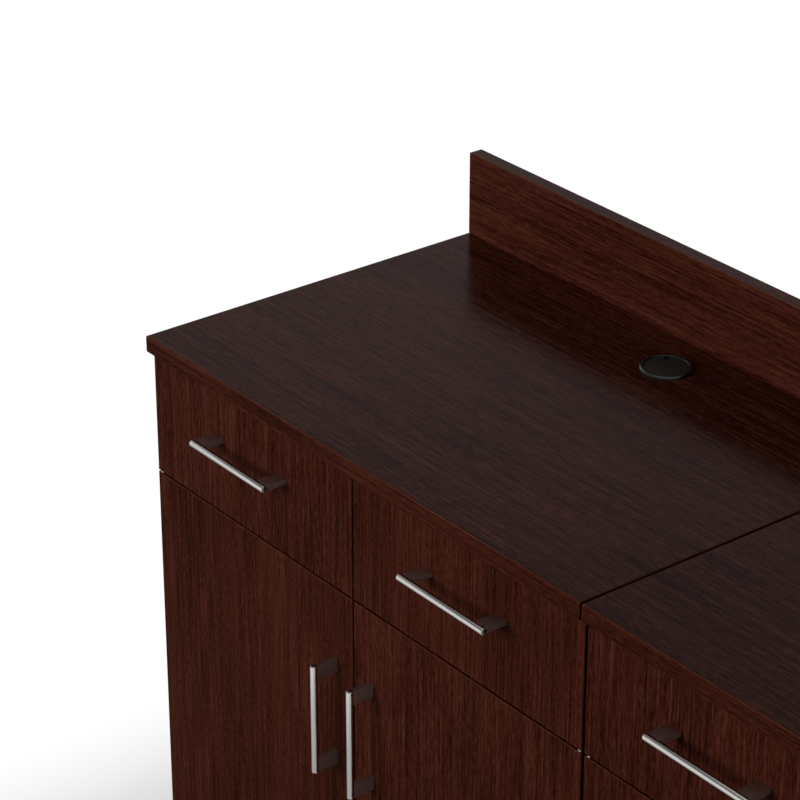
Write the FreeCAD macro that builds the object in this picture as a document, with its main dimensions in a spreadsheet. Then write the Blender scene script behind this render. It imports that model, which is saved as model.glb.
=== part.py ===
"""Coffee station: two equal base cabinets side by side under one worktop line.

Each module has two drawers over a pair of doors, a worktop with a backsplash and a recessed toe kick.
X runs along the front, Y points to the wall, Z is up. The origin lies on the floor, under the middle of
the station's bounding box, which includes the pulls.
"""
import FreeCAD, Part
import os
import re

import Sketcher
from FreeCAD import Rotation, Vector

# Driving sizes in millimetres, each with the words for its row in the sheet.
SIZES = {
    "module_width": (914.4, "width of one module and of its worktop"),
    "worktop_height": (914.4, "worktop surface above the floor"),
    "worktop_depth": (598.0, "worktop from its front edge to the wall"),
    "worktop_thick": (24.0, "worktop thickness"),
    "splash_height": (128.0, "backsplash above the worktop surface"),
    "splash_thick": (22.0, "backsplash thickness"),
    "edge_round": (0.8, "rounding of the banded edges"),
    "worktop_round": (1.6, "rounding of the worktop's upper edges"),
    "worktop_seam": (3.6, "gap between the two worktops and their backsplashes"),
    "panel_thick": (18.0, "carcase panels, rails, dividers and shelves"),
    "back_thick": (6.0, "back panel"),
    "back_inset": (12.0, "back panel's rear face in from the wall"),
    "groove_depth": (8.0, "back panel's groove in the sides"),
    "groove_clear": (0.25, "back panel's clearance in its groove"),
    "rail_width": (90.0, "width of the carcase rails"),
    "toe_height": (100.0, "underside of the floor panel above the floor"),
    "toe_depth": (70.0, "toe recess behind the carcase front"),
    "kick_thick": (16.0, "toe kick board"),
    "front_thick": (18.0, "drawer fronts and doors"),
    "front_overhang": (11.0, "worktop edge in front of the fronts' faces"),
    "front_gap": (3.0, "gap between neighbouring fronts of a module"),
    "joint_gap": (4.8, "gap between the fronts where the modules meet"),
    "front_standoff": (2.0, "gap between the fronts' backs and the carcase"),
    "drawer_line": (214.0, "middle of the gap under the drawers, below the surface"),
    "slide_thick": (12.7, "room for a slide beside the drawer box"),
    "slide_height": (45.0, "height of a slide channel"),
    "slide_metal": (1.4, "sheet thickness of the slides"),
    "slide_reach": (9.5, "depth of the slide channel from the wall"),
    "race_thick": (3.0, "ball race on the moving rail"),
    "slide_clear": (0.3, "running clearance in the slides"),
    "box_board": (12.0, "drawer box boards"),
    "box_under": (12.0, "drawer box above the middle rail"),
    "box_over": (28.0, "drawer box below the top rail"),
    "box_behind": (31.0, "drawer box in front of the rear rail"),
    "bottom_thick": (6.0, "drawer bottom"),
    "bottom_rise": (10.0, "drawer bottom above the box's lower edge"),
    "bottom_seat": (5.0, "drawer bottom's depth in its grooves"),
    "pull_length": (168.0, "overall length of a pull"),
    "pull_radius": (5.0, "radius of a pull's bar"),
    "pull_projection": (41.5, "pull's outermost line in front of the front's face"),
    "pull_drop": (99.4, "drawer pull's axis below the worktop surface"),
    "leg_width": (21.5, "pull leg along the bar"),
    "leg_thick": (8.0, "pull leg across the bar"),
    "door_pull_edge": (38.0, "door pull's axis from the door's free edge"),
    "door_pull_drop": (190.0, "door pull's middle below the door's top"),
    "hinge_edge": (6.0, "pivot axis from the door's hinge edge"),
    "hinge_face": (4.0, "pivot axis behind the door's face"),
    "pivot_radius": (1.75, "pivot pin"),
    "pivot_clear": (0.05, "pivot pin's running clearance in its arm"),
    "pivot_seat": (14.0, "pivot pin's depth in the door's edge"),
    "collar_radius": (3.2, "thrust collar on the pivot pin"),
    "collar_clear": (0.1, "collar's running clearance to the arm"),
    "arm_thick": (1.6, "hinge arm in the gap at the door's edge"),
    "arm_width": (7.0, "hinge arm across its length"),
    "leaf_width": (14.0, "hinge leaf let into the side's front edge"),
    "leaf_height": (40.0, "hinge leaf along the side's front edge"),
    "leaf_thick": (1.5, "hinge leaf"),
    "bumper_radius": (3.0, "door bumper pad"),
    "bumper_edge": (24.0, "door bumper from the door's free edge"),
    "bumper_clear": (0.2, "door bumper's clearance to the closed door"),
    "shelf_rise": (262.0, "shelf's underside above the floor panel"),
    "shelf_depth": (430.0, "shelf from front to back"),
    "shelf_setback": (40.0, "shelf behind the carcase front"),
    "shelf_clear": (1.0, "shelf's clearance to each side"),
    "peg_radius": (2.5, "shelf pin"),
    "peg_reach": (9.0, "shelf pin out of the side"),
    "peg_seat": (10.0, "shelf pin in the side"),
    "peg_inset": (60.0, "shelf pin from the shelf's edges"),
    "peg_pitch": (32.0, "spacing of the shelf pin holes"),
    "peg_rows": (5, "shelf pin holes in a row, the middle one in use"),
    "foot_height": (6.0, "levelling foot under the sides"),
    "foot_radius": (8.5, "levelling foot at its top"),
    "foot_sole": (7.5, "levelling foot at the floor"),
    "foot_inset": (30.0, "levelling foot from the side's lower corners"),
    "stem_radius": (4.0, "levelling foot's stem"),
    "stem_length": (25.0, "levelling foot's stem in the side"),
    "bolt_radius": (4.0, "bolt that joins the modules"),
    "bolt_head_radius": (8.0, "joining bolt's head"),
    "bolt_head_thick": (2.5, "joining bolt's head"),
    "bolt_inset": (60.0, "joining bolt from the carcase's edges"),
    "grommet_across": (518.5, "grommet from the left module's left end"),
    "grommet_back": (78.0, "grommet in front of the backsplash"),
    "grommet_hole": (30.0, "radius of the worktop's cable hole"),
    "grommet_clear": (0.15, "liner's clearance in the cable hole"),
    "grommet_wall": (2.0, "liner's wall"),
    "grommet_below": (10.0, "liner's tube below the worktop"),
    "flange_radius": (37.0, "liner's flange"),
    "flange_thick": (4.5, "liner's flange above the surface"),
    "flange_round": (3.0, "rounding of the flange's rim"),
    "flange_lip": (6.0, "liner's flange around the cap"),
    "lip_round": (0.8, "rounding of the flange beside the cap"),
    "cap_thick": (3.0, "grommet cap"),
    "cap_clear": (0.3, "cap's clearance in the liner"),
    "cap_sink": (1.4, "cap's face below the flange's rim"),
    "skirt_height": (7.0, "cap's skirt in the liner"),
    "slot_width": (6.5, "cable slot in the cap"),
    "slot_depth": (10.0, "cable slot from the cap's edge"),
    "slot_turn": (48.0, "degrees from the wall's side to the cable slot"),
}

# Places that several pieces share, written with the sizes' names.
BACK_Y = "(worktop_depth + pull_projection - front_overhang) / 2"
EDGE_Y = f"({BACK_Y} - worktop_depth)"
FACE_Y = f"({EDGE_Y} + front_overhang)"
FRONT_BACK_Y = f"({FACE_Y} + front_thick)"
CARCASE_Y = f"({FRONT_BACK_Y} + front_standoff)"
CARCASE_DEPTH = "(worktop_depth - front_overhang - front_thick - front_standoff)"
INNER_DEPTH = f"({CARCASE_DEPTH} - back_inset - back_thick)"
UNDER_TOP = "(worktop_height - worktop_thick)"
FLOOR_TOP = "(toe_height + panel_thick)"
LINE_Z = "(worktop_height - drawer_line)"
MIDDLE_Z = f"({LINE_Z} - panel_thick / 2)"
INNER_WIDTH = "(module_width - 2 * panel_thick)"
BAY_WIDTH = f"(({INNER_WIDTH} - panel_thick) / 2)"
FRONT_WIDTH = "((module_width - front_gap * 1.5 - joint_gap / 2) / 2)"
DRAWER_BOTTOM_Z = f"({LINE_Z} + front_gap / 2)"
DOOR_BOTTOM_Z = "(toe_height + front_gap)"
DOOR_TOP_Z = f"({LINE_Z} - front_gap / 2)"
BOX_Z = f"({MIDDLE_Z} + panel_thick + box_under)"
BOX_HEIGHT = f"({UNDER_TOP} - panel_thick - box_over - {BOX_Z})"
BOX_WIDTH = f"({BAY_WIDTH} - 2 * slide_thick)"
SLIDE_LENGTH = f"({INNER_DEPTH} - panel_thick - box_behind)"
BOX_DEPTH = f"({SLIDE_LENGTH} + front_standoff)"
SLIDE_Z = f"({BOX_Z} + {BOX_HEIGHT} / 2 - slide_height / 2)"
SHELF_Z = f"({FLOOR_TOP} + shelf_rise)"
PIVOT_Y = f"({FACE_Y} + hinge_face)"
MODULES = {"left": "-module_width", "right": "0"}

doc = FreeCAD.newDocument("coffee_station")
dims = doc.addObject("Spreadsheet::Sheet", "dims")
for row, (alias, (number, words)) in enumerate(SIZES.items(), 1):
    dims.set(f"A{row}", words)
    dims.set(f"B{row}", str(number))
    dims.setAlias(f"B{row}", alias)
doc.recompute()

nodes = []


def tied(text):
    """Turns words that name sizes, such as "module_width / 2", into an expression on the sheet."""
    return re.sub(r"[a-z]\w+", lambda m: "dims." + m[0] if m[0] in SIZES else m[0], text)


def worth(text):
    """The number that an expression on the sizes gives now."""
    return float(dims.evalExpression(tied(text)))


def bind(thing, **sizes):
    """Ties properties of an object to expressions on the sizes."""
    for name, text in sizes.items():
        thing.setExpression(name, tied(text))
    return thing


def place(thing, x, y, z):
    """Ties an object's position to expressions on the sizes."""
    for axis, text in zip("xyz", (x, y, z)):
        thing.setExpression(f"Placement.Base.{axis}", tied(text))
    return thing


def node(thing, label):
    """Marks an object as a piece of the station under its own name."""
    thing.Label = label
    nodes.append(thing)
    return thing


def block(x, y, z, length, width, height):
    """A board with its low corner at x, y, z."""
    return place(bind(doc.addObject("Part::Box"), Length=length, Width=width, Height=height), x, y, z)


def rod(x, y, z, radius, length, axis=Vector(0, 0, 1)):
    """A round bar that starts at x, y, z and runs along an axis."""
    bar = bind(doc.addObject("Part::Cylinder"), Radius=radius, Height=length)
    bar.Placement.Rotation = Rotation(Vector(0, 0, 1), axis)
    return place(bar, x, y, z)


def fuse(*things):
    """One solid out of several that meet."""
    joined = doc.addObject("Part::MultiFuse")
    joined.Shapes = list(things)
    return joined


def cut(base, tool):
    """A solid less another."""
    rest = doc.addObject("Part::Cut")
    rest.Base = base
    rest.Tool = tool
    return rest


def group(label, things):
    """Like pieces that share a node as separate solids."""
    compound = doc.addObject("Part::Compound")
    compound.Links = list(things)
    return node(compound, label)


def new_body(label, x, y, z):
    """An empty body at x, y, z."""
    return node(place(doc.addObject("PartDesign::Body", label), x, y, z), label)


def sketch_on(body, role, offset="0"):
    """A sketch on one of the body's origin planes, moved along the plane's normal."""
    sketch = body.newObject("Sketcher::SketchObject", "sketch")
    plane = next(f for f in body.Origin.OriginFeatures if f.Role == role)
    sketch.AttachmentSupport = [(plane, "")]
    sketch.MapMode = "FlatFace"
    sketch.setExpression("AttachmentOffset.Base.z", tied(offset))
    return sketch


def dimension(sketch, kind, geometry, point, text):
    """Holds a point's distance from the sketch's origin with a driving dimension."""
    index = sketch.addConstraint(Sketcher.Constraint(kind, -1, 1, geometry, point, worth(text)))
    sketch.setExpression(f"Constraints[{index}]", tied(text))


def outline(sketch, points):
    """A closed outline through points, each given as two expressions."""
    spots = [Vector(worth(x), worth(y), 0) for x, y in points]
    count = len(spots)
    for i in range(count):
        sketch.addGeometry(Part.LineSegment(spots[i], spots[(i + 1) % count]))
    for i in range(count):
        sketch.addConstraint(Sketcher.Constraint("Coincident", i, 2, (i + 1) % count, 1))
    for i, (x, y) in enumerate(points):
        before = points[i - 1]
        if i and x == before[0]:
            sketch.addConstraint(Sketcher.Constraint("Vertical", i - 1))
        else:
            dimension(sketch, "DistanceX", i, 1, x)
        if i and y == before[1]:
            sketch.addConstraint(Sketcher.Constraint("Horizontal", i - 1))
        else:
            dimension(sketch, "DistanceY", i, 1, y)
    return sketch


def rectangle(sketch, x, y, width, height):
    """A closed rectangle with its low corner at x, y."""
    right, top = f"{x} + {width}", f"{y} + {height}"
    return outline(sketch, [(x, y), (right, y), (right, top), (x, top)])


def circle(sketch, x, y, radius):
    """A circle about x, y."""
    centre = Vector(worth(x), worth(y), 0)
    index = sketch.addGeometry(Part.Circle(centre, Vector(0, 0, 1), worth(radius)))
    dimension(sketch, "DistanceX", index, 3, x)
    dimension(sketch, "DistanceY", index, 3, y)
    size = sketch.addConstraint(Sketcher.Constraint("Radius", index, worth(radius)))
    sketch.setExpression(f"Constraints[{size}]", tied(radius))
    return sketch


def pad(body, sketch, length):
    """Solid raised from a sketch along its normal."""
    feature = body.newObject("PartDesign::Pad", "pad")
    feature.Profile = sketch
    return bind(feature, Length=length)


def pocket(body, sketch, depth, along_normal=False):
    """Solid removed from a sketch, against its normal or along it."""
    feature = body.newObject("PartDesign::Pocket", "pocket")
    feature.Profile = sketch
    feature.Reversed = along_normal
    return bind(feature, Length=depth)


def face_toward(feature, direction):
    """The name of the flat face that looks along a direction and lies furthest along it."""
    doc.recompute()
    faces = feature.Shape.Faces
    flat = [i for i, f in enumerate(faces) if f.normalAt(0, 0).dot(direction) > 0.999]
    return f"Face{max(flat, key=lambda i: faces[i].CenterOfMass.dot(direction)) + 1}"


def soften(body, feature, direction, radius):
    """Rounds the edges of the face that looks along a direction."""
    fillet = body.newObject("PartDesign::Fillet", "fillet")
    fillet.Base = (feature, [face_toward(feature, direction)])
    return bind(fillet, Radius=radius)


def revolve(body, sketch):
    """A full turn of a sketch's section about the body's vertical axis."""
    feature = body.newObject("PartDesign::Revolution", "revolution")
    feature.Profile = sketch
    axis = next(f for f in body.Origin.OriginFeatures if f.Role == "Z_Axis")
    feature.ReferenceAxis = (axis, [""])
    feature.Angle = 360
    return feature


def side_panel(label, x, inner_right, joined):
    """A side with its toe notch, back groove, shelf pin holes, hinge mortises and foot holes."""
    body = new_body(label, x, CARCASE_Y, "0")
    pad(body, outline(sketch_on(body, "YZ_Plane"), [
        ("toe_depth", "foot_height"), (CARCASE_DEPTH, "foot_height"), (CARCASE_DEPTH, UNDER_TOP),
        ("0", UNDER_TOP), ("0", "toe_height"), ("toe_depth", "toe_height")]), "panel_thick")
    inner = "panel_thick" if inner_right else "0"

    groove = rectangle(sketch_on(body, "YZ_Plane", inner), f"{INNER_DEPTH} - groove_clear",
                       "toe_height - groove_clear", "back_thick + 2 * groove_clear",
                       f"{UNDER_TOP} - toe_height + groove_clear")
    pocket(body, groove, "groove_depth", not inner_right)

    holes = sketch_on(body, "YZ_Plane", inner)
    lowest = f"{SHELF_Z} - peg_radius - peg_pitch * (peg_rows - 1) / 2"
    for y in ("shelf_setback + peg_inset", "shelf_setback + shelf_depth - peg_inset"):
        circle(holes, y, lowest, "peg_radius")
    first = pocket(body, holes, "peg_seat", not inner_right)
    doc.recompute()
    column = body.newObject("PartDesign::LinearPattern", "pattern")
    column.Originals = [first]
    column.Direction = (holes, ["V_Axis"])
    bind(column, Length="peg_pitch * (peg_rows - 1)", Occurrences="peg_rows")
    body.Tip = column

    mortises = sketch_on(body, "XZ_Plane")
    for z in (f"{LINE_Z} + arm_thick / 2 - leaf_height", "toe_height + front_gap / 2 - arm_thick / 2"):
        corner = len(mortises.Geometry)
        mortise(mortises, corner, "(panel_thick - leaf_width) / 2", z)
    pocket(body, mortises, "leaf_thick")

    stems = sketch_on(body, "XY_Plane", "foot_height")
    for y in ("toe_depth + foot_inset", f"{CARCASE_DEPTH} - foot_inset"):
        circle(stems, "panel_thick / 2", y, "stem_radius")
    pocket(body, stems, "stem_length", True)

    if joined:
        bolts = sketch_on(body, "YZ_Plane", "panel_thick")
        for y, z in bolt_spots():
            circle(bolts, y, z, "bolt_radius")
        pocket(body, bolts, "panel_thick")
    return body


def mortise(sketch, first, x, z):
    """A hinge leaf's rectangle among others in one sketch, from its first line on."""
    right, top = f"{x} + leaf_width", f"{z} + leaf_height"
    corners = [(x, z), (right, z), (right, top), (x, top)]
    spots = [Vector(worth(a), worth(b), 0) for a, b in corners]
    for i in range(4):
        sketch.addGeometry(Part.LineSegment(spots[i], spots[(i + 1) % 4]))
    for i in range(4):
        sketch.addConstraint(Sketcher.Constraint("Coincident", first + i, 2, first + (i + 1) % 4, 1))
        sketch.addConstraint(Sketcher.Constraint("Vertical" if i % 2 else "Horizontal", first + i))
    dimension(sketch, "DistanceX", first, 1, x)
    dimension(sketch, "DistanceY", first, 1, z)
    dimension(sketch, "DistanceX", first + 2, 1, right)
    dimension(sketch, "DistanceY", first + 2, 1, top)


def bolt_spots():
    """Depths behind the carcase front and heights of the bolts that join the modules."""
    return [(y, z) for y in ("bolt_inset", f"{INNER_DEPTH} - bolt_inset")
            for z in (f"{FLOOR_TOP} + bolt_inset", f"{MIDDLE_Z} - bolt_inset")]


def carcase(name, start):
    """The fixed panels of one module, whose left end is at start."""
    side_panel(f"{name}_cabinet_left_side", start, True, name == "right")
    side_panel(f"{name}_cabinet_right_side", f"{start} + module_width - panel_thick", False, name == "left")

    floor = new_body(f"{name}_cabinet_floor", f"{start} + panel_thick", CARCASE_Y, "toe_height")
    pad(floor, rectangle(sketch_on(floor, "XY_Plane"), "0", "0", INNER_WIDTH, INNER_DEPTH), "panel_thick")

    tongue = "(groove_depth - groove_clear)"
    back = new_body(f"{name}_cabinet_back", f"{start} + panel_thick - {tongue}",
                    f"{CARCASE_Y} + {INNER_DEPTH} + back_thick", "toe_height")
    pad(back, rectangle(sketch_on(back, "XZ_Plane"), "0", "0", f"{INNER_WIDTH} + 2 * {tongue}",
                        f"{UNDER_TOP} - toe_height"), "back_thick")

    top_start = start if name == "left" else f"{start} + worktop_seam / 2"
    top_width = "module_width - worktop_seam / 2"
    top = new_body(f"{name}_worktop", top_start, EDGE_Y, UNDER_TOP)
    slab = pad(top, rectangle(sketch_on(top, "XY_Plane"), "0", "0", top_width, "worktop_depth"), "worktop_thick")
    soften(top, slab, Vector(0, 0, 1), "worktop_round")
    if name == "left":
        hole = circle(sketch_on(top, "XY_Plane", "worktop_thick"), "grommet_across",
                      "worktop_depth - splash_thick - grommet_back", "grommet_hole")
        pocket(top, hole, "worktop_thick")

    splash = new_body(f"{name}_backsplash", top_start, f"{BACK_Y} - splash_thick", "worktop_height")
    plate = pad(splash, rectangle(sketch_on(splash, "XY_Plane"), "0", "0", top_width, "splash_thick"),
                "splash_height")
    soften(splash, plate, Vector(0, 0, 1), "edge_round")

    shelf = new_body(f"{name}_shelf", f"{start} + panel_thick + shelf_clear",
                     f"{CARCASE_Y} + shelf_setback", SHELF_Z)
    board = pad(shelf, rectangle(sketch_on(shelf, "XY_Plane"), "0", "0",
                                 f"{INNER_WIDTH} - 2 * shelf_clear", "shelf_depth"), "panel_thick")
    soften(shelf, board, Vector(0, -1, 0), "edge_round")


def rails(start):
    """Front and rear rails at the top and under the drawers of one module."""
    x = f"{start} + panel_thick"
    rear = f"{CARCASE_Y} + {INNER_DEPTH}"
    flat = (INNER_WIDTH, "rail_width", "panel_thick")
    return [
        block(x, CARCASE_Y, f"{UNDER_TOP} - panel_thick", *flat),
        block(x, f"{rear} - panel_thick", f"{UNDER_TOP} - rail_width", INNER_WIDTH, "panel_thick", "rail_width"),
        block(x, CARCASE_Y, MIDDLE_Z, *flat),
        block(x, f"{rear} - rail_width", MIDDLE_Z, *flat),
    ]


def divider(start):
    """The upright board between the two drawers of one module."""
    z = f"{MIDDLE_Z} + panel_thick"
    return block(f"{start} + panel_thick + {BAY_WIDTH}", CARCASE_Y, z, "panel_thick",
                 f"{INNER_DEPTH} - panel_thick", f"{UNDER_TOP} - panel_thick - ({z})")


def foot(x, y):
    """A levelling foot with its stem in the side's lower edge."""
    sole = bind(doc.addObject("Part::Cone"), Radius1="foot_sole", Radius2="foot_radius", Height="foot_height")
    return fuse(place(sole, x, y, "0"), rod(x, y, "0", "stem_radius", "foot_height + stem_length"))


def hinge_bracket(x, z, leaf_x, leaf_z):
    """A leaf let into the side's front edge and the arm that carries the pivot pin."""
    low = f"{z} - arm_thick / 2"
    leaf = block(leaf_x, CARCASE_Y, leaf_z, "leaf_width", "leaf_thick", "leaf_height")
    arm = block(f"{x} - arm_width / 2", PIVOT_Y, low, "arm_width",
                f"{CARCASE_Y} + leaf_thick - ({PIVOT_Y})", "arm_thick")
    nose = rod(x, PIVOT_Y, low, "arm_width / 2", "arm_thick")
    eye = rod(x, PIVOT_Y, low, "pivot_radius + pivot_clear", "arm_thick")
    return cut(fuse(leaf, arm, nose), eye)


def slide_channel(x, opens_right):
    """A fixed channel on a bay's wall, open towards the drawer."""
    inside = "slide_metal" if opens_right else "0"
    shell = block(x, CARCASE_Y, SLIDE_Z, "slide_reach", SLIDE_LENGTH, "slide_height")
    room = block(f"{x} + {inside}", CARCASE_Y, f"{SLIDE_Z} + slide_metal", "slide_reach - slide_metal",
                 SLIDE_LENGTH, "slide_height - 2 * slide_metal")
    return cut(shell, room)


def slide_rail(x, opens_left):
    """A moving rail on the drawer box's side, whose races run in the channel."""
    inset = "(slide_metal + slide_clear)"
    width = f"(slide_thick - {inset})"
    inside = "0" if opens_left else "slide_metal"
    solid = block(x, CARCASE_Y, f"{SLIDE_Z} + {inset}", width, SLIDE_LENGTH, f"slide_height - 2 * {inset}")
    room = block(f"{x} + {inside}", CARCASE_Y, f"{SLIDE_Z} + {inset} + race_thick", f"{width} - slide_metal",
                 SLIDE_LENGTH, f"slide_height - 2 * ({inset} + race_thick)")
    return cut(solid, room)


def pull(label, x, z, upright):
    """A round bar on two flat legs, along the front or upright."""
    axis_y = f"({FACE_Y} - pull_projection + pull_radius)"
    reach = f"{FACE_Y} - {axis_y}"
    half = "pull_length / 2"
    if upright:
        bar = rod(x, axis_y, f"{z} - {half}", "pull_radius", "pull_length")
        legs = [block(f"{x} - leg_thick / 2", axis_y, end, "leg_thick", reach, "leg_width")
                for end in (f"{z} - {half}", f"{z} + {half} - leg_width")]
    else:
        bar = rod(f"{x} - {half}", axis_y, z, "pull_radius", "pull_length", Vector(1, 0, 0))
        legs = [block(end, axis_y, f"{z} - leg_thick / 2", "leg_width", reach, "leg_thick")
                for end in (f"{x} - {half}", f"{x} + {half} - leg_width")]
    return node(fuse(bar, *legs), label)


def front_left(start, bay):
    """The left edge of a drawer front or door, which keeps half a gap from its module's ends."""
    end = "joint_gap / 2" if start == MODULES["right"] else "front_gap / 2"
    return f"{start} + {end} + {bay} * ({FRONT_WIDTH} + front_gap)"


def front_panel(label, x, z, height):
    """A drawer front or door with softened edges on its face."""
    body = new_body(label, x, FRONT_BACK_Y, z)
    slab = pad(body, rectangle(sketch_on(body, "XZ_Plane"), "0", "0", FRONT_WIDTH, height), "front_thick")
    soften(body, slab, Vector(0, -1, 0), "edge_round")
    return body


def drawer(number, start, bay):
    """A drawer: front, box, bottom, pull and the rails of its slides."""
    name = f"drawer_{number}"
    front_x = front_left(start, bay)
    bay_x = f"{start} + panel_thick + {bay} * ({BAY_WIDTH} + panel_thick)"
    box_x = f"{bay_x} + slide_thick"
    front_panel(f"{name}_front", front_x, DRAWER_BOTTOM_Z, f"{UNDER_TOP} - front_gap - {DRAWER_BOTTOM_Z}")
    pull(f"{name}_pull", f"{front_x} + {FRONT_WIDTH} / 2", "worktop_height - pull_drop", False)

    inner = f"({BOX_WIDTH} - 2 * box_board)"
    inner_x = f"{box_x} + box_board"
    bottom_z = f"{BOX_Z} + bottom_rise"
    bottom = (f"{inner_x} - bottom_seat", f"{FRONT_BACK_Y} + box_board - bottom_seat", bottom_z,
              f"{inner} + 2 * bottom_seat", f"{BOX_DEPTH} - 2 * box_board + 2 * bottom_seat", "bottom_thick")
    boards = [
        block(box_x, FRONT_BACK_Y, BOX_Z, "box_board", BOX_DEPTH, BOX_HEIGHT),
        block(f"{inner_x} + {inner}", FRONT_BACK_Y, BOX_Z, "box_board", BOX_DEPTH, BOX_HEIGHT),
        block(inner_x, FRONT_BACK_Y, BOX_Z, inner, "box_board", BOX_HEIGHT),
        block(inner_x, f"{FRONT_BACK_Y} + {BOX_DEPTH} - box_board", BOX_Z, inner, "box_board", BOX_HEIGHT),
    ]
    group(f"{name}_box", [cut(board, block(*bottom)) for board in boards])
    node(block(*bottom), f"{name}_bottom")
    left = f"{bay_x} + slide_metal + slide_clear"
    group(f"{name}_slide_rails", [slide_rail(left, True), slide_rail(f"{box_x} + {BOX_WIDTH}", False)])
    return [slide_channel(bay_x, True), slide_channel(f"{bay_x} + {BAY_WIDTH} - slide_reach", False)]


def pivot_pin(x, edge_z, upward):
    """A pin in the door's edge with a collar that bears on the hinge arm."""
    collar = "(front_gap / 2 - arm_thick / 2 - collar_clear)"
    reach = "front_gap / 2 + arm_thick / 2"
    start = f"{edge_z} - pivot_seat" if upward else f"{edge_z} - ({reach})"
    collar_z = edge_z if upward else f"{edge_z} - {collar}"
    return fuse(rod(x, PIVOT_Y, start, "pivot_radius", f"pivot_seat + {reach}"),
                rod(x, PIVOT_Y, collar_z, "collar_radius", collar))


def door(number, start, bay):
    """A door: panel, pull and pivot pins. Gives its hinge brackets and bumpers, which are on the carcase."""
    name = f"door_{number}"
    x = front_left(start, bay)
    right = f"{x} + {FRONT_WIDTH}"
    height = f"({DOOR_TOP_Z} - {DOOR_BOTTOM_Z})"
    pivot = f"{FRONT_WIDTH} - hinge_edge" if bay else "hinge_edge"
    body = front_panel(f"{name}_panel", x, DOOR_BOTTOM_Z, height)
    for offset, upward in (("0", True), (height, False)):
        hole = circle(sketch_on(body, "XY_Plane", offset), pivot, "hinge_face - front_thick", "pivot_radius")
        pocket(body, hole, "pivot_seat", upward)

    pull_x = f"{x} + door_pull_edge" if bay else f"{right} - door_pull_edge"
    pull(f"{name}_pull", pull_x, f"{DOOR_TOP_Z} - door_pull_drop", True)
    pin_x = f"{x} + {pivot}"
    group(f"{name}_hinge_pins", [pivot_pin(pin_x, DOOR_TOP_Z, True), pivot_pin(pin_x, DOOR_BOTTOM_Z, False)])

    side_x = f"{start} + {bay} * (module_width - panel_thick)"
    leaf_x = f"{side_x} + (panel_thick - leaf_width) / 2"
    low = "toe_height + front_gap / 2"
    brackets = [
        hinge_bracket(pin_x, LINE_Z, leaf_x, f"{LINE_Z} + arm_thick / 2 - leaf_height"),
        hinge_bracket(pin_x, low, leaf_x, f"{low} - arm_thick / 2"),
    ]
    bumper_x = f"{x} + bumper_edge" if bay else f"{right} - bumper_edge"
    heights = (f"{LINE_Z} - (panel_thick + front_gap) / 4", f"{DOOR_BOTTOM_Z} + (panel_thick - front_gap) / 2")
    pads = [rod(bumper_x, CARCASE_Y, z, "bumper_radius", "front_standoff - bumper_clear", Vector(0, -1, 0))
            for z in heights]
    return brackets, pads


def grommet():
    """The cable outlet of the left worktop: a liner with a rounded flange and a cap with a cable slot."""
    spot = ("-module_width + grommet_across", f"{BACK_Y} - splash_thick - grommet_back", "worktop_height")
    tube = "(grommet_hole - grommet_clear)"
    bore = f"({tube} - grommet_wall)"
    seat = "(flange_radius - flange_lip)"
    ledge = "(flange_thick - cap_sink - cap_thick)"
    low = "-worktop_thick - grommet_below"

    liner = new_body("grommet_liner", *spot)
    ring = revolve(liner, outline(sketch_on(liner, "XZ_Plane"), [
        (bore, low), (tube, low), (tube, "0"), ("flange_radius", "0"), ("flange_radius", "flange_thick"),
        (seat, "flange_thick"), (seat, ledge), (bore, ledge)]))
    for radius, rounding in (("flange_radius", "flange_round"), (seat, "lip_round")):
        doc.recompute()
        rims = [i for i, e in enumerate(ring.Shape.Edges, 1)
                if abs(e.BoundBox.XMax - worth(radius)) < 1e-4
                and abs(e.BoundBox.ZMin - worth("flange_thick")) < 1e-4]
        rounded = liner.newObject("PartDesign::Fillet", "fillet")
        rounded.Base = (ring, [f"Edge{i}" for i in rims])
        ring = bind(rounded, Radius=rounding)

    cap = new_body("grommet_cap", *spot)
    cap.setExpression("Placement.Rotation.Angle", tied("slot_turn * 1 deg"))
    rim, face = f"{seat} - cap_clear", f"{ledge} + cap_thick"
    skirt, inside = f"{bore} - cap_clear", f"{bore} - cap_clear - grommet_wall"
    under, base = f"{ledge} + collar_clear", f"{ledge} - skirt_height"
    revolve(cap, outline(sketch_on(cap, "XZ_Plane"), [
        ("0", under), (inside, under), (inside, base), (skirt, base), (skirt, under), (rim, under),
        (rim, face), ("0", face)]))
    slot = rectangle(sketch_on(cap, "XY_Plane", f"{face} + cap_clear"), "-slot_width / 2",
                     f"{rim} - slot_depth", "slot_width", "slot_depth + flange_lip")
    pocket(cap, slot, "cap_clear + cap_thick + skirt_height")


def check():
    """Stops unless every object came out whole and every pocket took material away."""
    for thing in doc.Objects:
        if "Invalid" in thing.State or "Error" in thing.State:
            raise RuntimeError(f"{thing.Label}: {thing.State}")
        if thing.isDerivedFrom("PartDesign::Pocket"):
            if thing.Shape.Volume > thing.BaseFeature.Shape.Volume - 1e-3:
                raise RuntimeError(f"{thing.Label} cuts nothing")
    for piece in nodes:
        if piece.Shape.isNull() or not piece.Shape.isValid() or not piece.Shape.Solids:
            raise RuntimeError(f"{piece.Label} has no sound shape")


channels, arms, bumpers = [], [], []
for module, (name, start) in enumerate(MODULES.items()):
    carcase(name, start)
    for bay in range(2):
        number = 2 * module + bay + 1
        channels += drawer(number, start, bay)
        brackets, pads = door(number, start, bay)
        arms += brackets
        bumpers += pads
grommet()

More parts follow.
